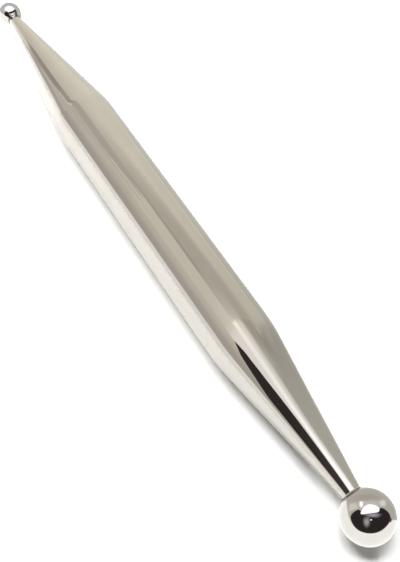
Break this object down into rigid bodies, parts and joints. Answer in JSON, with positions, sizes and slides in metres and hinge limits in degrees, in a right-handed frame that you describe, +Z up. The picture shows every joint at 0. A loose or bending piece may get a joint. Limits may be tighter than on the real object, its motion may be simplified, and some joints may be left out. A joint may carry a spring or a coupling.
{
  "type": "ball modelling tool",
  "caption": "Double-ended metal modelling tool with a round grip, long tapered cones and a polished ball at each end, for shaping and thinning paste or clay.",
  "frame": {"origin": "on the surface that the tool lies on, below the middle of its overall length", "axes": "+X along the tool towards the large ball, +Z up, +Y sideways"},
  "size_m": [0.1382, 0.0124, 0.0125],
  "materials": {
    "polished_steel": "mirror-polished stainless steel with fine polishing lines",
    "ball_steel": "mirror-polished stainless steel",
    "pin_steel": "ground stainless steel",
    "braze": "dull silver braze, darkened in the joint"
  },
  "bodies": {
    "root": {"grip_tube": "polished_steel", "small_end_cone": "polished_steel", "large_end_cone": "polished_steel", "small_ball": "ball_steel", "large_ball": "ball_steel", "small_ball_pin": "pin_steel", "large_ball_pin": "pin_steel", "small_ball_braze": "braze", "large_ball_braze": "braze"}
  },
  "joints": []
}
